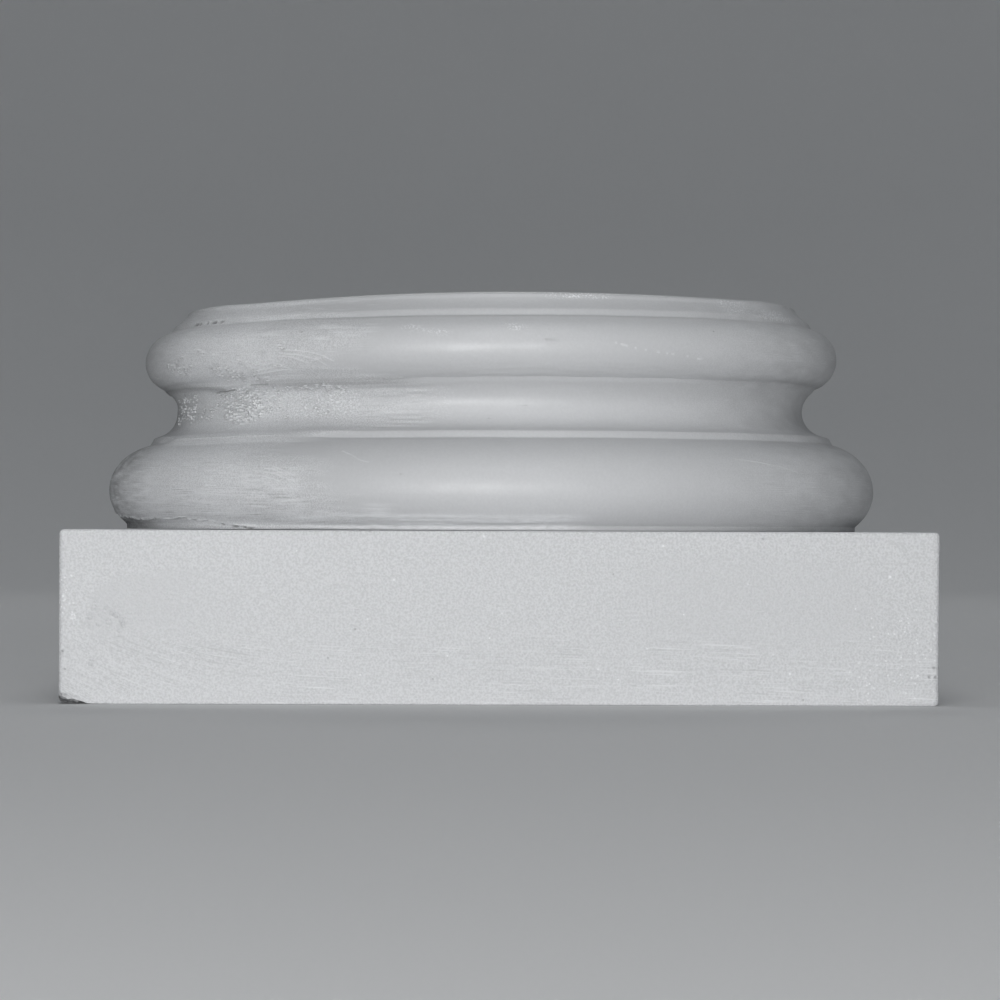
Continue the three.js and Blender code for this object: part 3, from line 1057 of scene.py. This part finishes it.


# The moulding's finish: the same white, satin where it is bare, duller and streaked where it was
# filled and sanded, glossy on the blisters and matt where filler dust has dried on it. The blister tops carry
# painted highlights; the gaps between them, the tone and the shadow carry painted shade
skin = new_finish("moulding_satin")
shader = skin.node_tree.nodes["Principled BSDF"]
shader.inputs["Specular IOR Level"].default_value = 0.5
sanded_share = known(skin, "sanded")
foamed_share = known(skin, "foamed")
bead_glint_share = known(skin, "bead_glints")
chalk_share = known(skin, "chalk")
grain = cloud(skin, place_on(skin, 1.3, 1.3, 1.3), 2.0, 0.5)
sand = cloud(skin, place_on(skin, 0.62, 0.62, 0.62), 2.0, 0.6)
crumbs = cloud(skin, place_on(skin, 1.0, 1.0, 0.7), 2.0, 0.6)
mottle = cloud(skin, place_on(skin, 22, 22, 14), 2.5, 0.55)
streaks = cloud(skin, place_on(skin, 15, 0.5, 1, unrolled=True), 2.0, 0.6)
fine_streaks = cloud(skin, place_on(skin, 5, 0.36, 1, unrolled=True), 2.0, 0.6)
streak_patch = cloud(skin, place_on(skin, 24, 5, 1, unrolled=True), 1.5, 0.5)
streak_share = product(skin, known(skin, "streaked"), stretch(skin, streak_patch, 0.34, 0.6))


def dots(material, place, edge, core):
    """Round dots, one to each step of a place, that fade out from a core to an edge radius in steps."""
    texture = node(material, "TexVoronoi")
    texture.inputs["Scale"].default_value = 1.0
    join(material, place, texture.inputs["Vector"])
    return stretch(material, texture.outputs["Distance"], edge, core)


bubble_glints = product(skin, foamed_share, dots(skin, place_on(skin, 1.2, 1.2, 1.2), 0.42, 0.3))
pit = dots(skin, place_on(skin, 31, 31, 31, turn=(0.2, 0.5, 0.1)), 0.022, 0.012)
paint = blend_colour(skin, stretch(skin, grain, 0.25, 0.75), grey(0.598), grey(0.624))
paint = coat(skin, paint, stretch(skin, mottle, 0.4, 0.7), 0.3, 0.582)
sand_paint = blend_colour(skin, stretch(skin, sand, 0.34, 0.66), grey(0.55), grey(0.75))
paint = blend_colour(skin, product(skin, sanded_share, 0.9), paint, sand_paint)

# The tone makes the paint lighter or darker, where 1 leaves it as it is; it carries painted shade and light
# as well as the whiter filler and the dirt
tinting = node(skin, "Mix")
tinting.data_type = "RGBA"
tinting.blend_type = "MULTIPLY"
tinting.inputs["Factor"].default_value = 1.0
for name, part in (("A", paint), ("B", known(skin, "tone"))):
    join(skin, part, next(s for s in tinting.inputs if s.name == name and s.type == "RGBA"))
paint = next(s for s in tinting.outputs if s.type == "RGBA")

paint = coat(skin, paint, product(skin, streak_share, stretch(skin, streaks, 0.52, 0.7)), 0.85, 0.86)
paint = coat(skin, paint, product(skin, streak_share, stretch(skin, streaks, 0.47, 0.3)), 0.8, 0.4)
# Painted shade in the gaps between the blisters
paint = coat(skin, paint, foamed_share, 0.9, 0.27)
# Painted highlights: tiny white dots among the blisters
paint = coat(skin, paint, bubble_glints, 0.85, 0.98)
# Painted highlights: the blister tops near-white
paint = coat(skin, paint, bead_glint_share, 1.0, 0.98)
paint = coat(skin, paint, chalk_share, stretch(skin, fine_streaks, 0.3, 0.6, 0.3, 1.0), 0.8)
paint = coat(skin, paint, known(skin, "dusty"), stretch(skin, crumbs, 0.5, 0.62), 0.92)
paint = coat(skin, paint, known(skin, "shadow"), 0.8, 0.16)
# Tiny dark dots: painted shade of pinholes
paint = coat(skin, paint, pit, 0.5, 0.25)
join(skin, paint, shader.inputs["Base Color"])
gloss = stretch(skin, mottle, 0.3, 0.7, 0.40, 0.48)
gloss = maths(skin, "ADD", gloss, product(skin, known(skin, "filled"), 0.1))
gloss = maths(skin, "SUBTRACT", gloss, product(skin, bead_glint_share, 0.3))
gloss = maths(skin, "ADD", gloss, product(skin, chalk_share, 0.35), clamp=True)
join(skin, gloss, shader.inputs["Roughness"])
relief = raised(skin, grain, 0.05)
relief = raised(skin, product(skin, sand, sanded_share), 0.26, relief)
relief = raised(skin, bubble_glints, 0.22, relief)
relief = raised(skin, product(skin, streaks, streak_share), 0.2, relief)
relief = raised(skin, product(skin, fine_streaks, chalk_share), 0.14, relief)
join(skin, relief, shader.inputs["Normal"])
cover(moulding, skin, 50)

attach(moulding, "root")
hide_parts("base_moulding")


# Stage
# A pale round floor that sweeps up into a wall all round, well away from the object.
stage_steps = 96
floor_radius = 2.6
sweep_radius = 2.2
wall_height = 3.2

bpy.ops.object.select_all(action="DESELECT")
bpy.ops.mesh.primitive_circle_add(
    vertices=stage_steps, radius=floor_radius, fill_type="NGON", location=(0, 0, 0))
stage = bpy.context.active_object
stage.name = "studio_sweep"
bpy.ops.object.mode_set(mode="EDIT")
bpy.ops.mesh.select_mode(type="EDGE")
bpy.ops.mesh.select_all(action="SELECT")
bpy.ops.mesh.region_to_loop()
sweep_steps = 24
for i in range(sweep_steps):
    before = math.pi / 2 * i / sweep_steps
    after = math.pi / 2 * (i + 1) / sweep_steps
    out_before = floor_radius + sweep_radius * math.sin(before)
    out_after = floor_radius + sweep_radius * math.sin(after)
    up = sweep_radius * (math.cos(before) - math.cos(after))
    bpy.ops.mesh.extrude_edges_move(TRANSFORM_OT_translate={"value": (0, 0, up)})
    bpy.ops.transform.resize(value=(out_after / out_before, out_after / out_before, 1))
bpy.ops.mesh.extrude_edges_move(TRANSFORM_OT_translate={"value": (0, 0, wall_height)})
bpy.ops.object.mode_set(mode="OBJECT")
bpy.ops.object.shade_smooth_by_angle(angle=math.radians(40))
stage_finish = new_finish("pale_sweep")
shader = stage_finish.node_tree.nodes["Principled BSDF"]
shader.inputs["Base Color"].default_value = (0.78, 0.783, 0.786, 1)
shader.inputs["Roughness"].default_value = 0.9
shader.inputs["Specular IOR Level"].default_value = 0.1
stage.data.materials.append(stage_finish)


def soft_light(name, place, aim, width, height, power):
    data = bpy.data.lights.new(name, "AREA")
    data.shape = "RECTANGLE"
    data.size = width
    data.size_y = height
    data.energy = power
    lamp = bpy.data.objects.new(name, data)
    lamp.location = place
    lamp.rotation_euler = (Vector(aim) - Vector(place)).to_track_quat("-Z", "Y").to_euler()
    lamp.visible_camera = False
    bpy.context.scene.collection.objects.link(lamp)


soft_light("low_strip", (-0.2, -2.1, 0.08), (0, 0, 0.1), 1.2, 0.14, 22.9)
soft_light("front_high", (-0.2, -1.8, 1.6), (0, 0, 0.1), 0.9, 0.9, 4.75)
soft_light("top_front", (0.3, -1.2, 2.2), (0, 0, 0.1), 1.2, 1.2, 3.3)
soft_light("back_fill", (0, 2.3, 2.4), (0, 0, 0.1), 1.4, 1.0, 10)

world = bpy.data.worlds.new("studio_air")
world.use_nodes = True
world.node_tree.nodes["Background"].inputs["Color"].default_value = (0.8, 0.85, 0.9, 1)
world.node_tree.nodes["Background"].inputs["Strength"].default_value = 0.21
bpy.context.scene.world = world
bpy.context.scene.view_settings.view_transform = "Standard"

# Camera
# It stands just above the level of the plinth's top, a little left of the middle, and far off behind a
# long lens, rolled a quarter of a degree.
camera_place = Vector((-39.3, -1758.6, 81.76)) * mm
camera_turn = math.radians(1.433)
camera_tilt = math.radians(0.470)
camera_roll = math.radians(0.231)
camera_data = bpy.data.cameras.new("long_lens")
camera_data.sensor_width = 36
camera_data.lens = 121.50
camera = bpy.data.objects.new("long_lens", camera_data)
camera.location = camera_place
camera.rotation_euler = (
    Matrix.Rotation(-camera_turn, 3, "Z") @ Matrix.Rotation(math.pi / 2 + camera_tilt, 3, "X")
    @ Matrix.Rotation(camera_roll, 3, "Z")).to_euler()
bpy.context.scene.collection.objects.link(camera)
bpy.context.scene.camera = camera
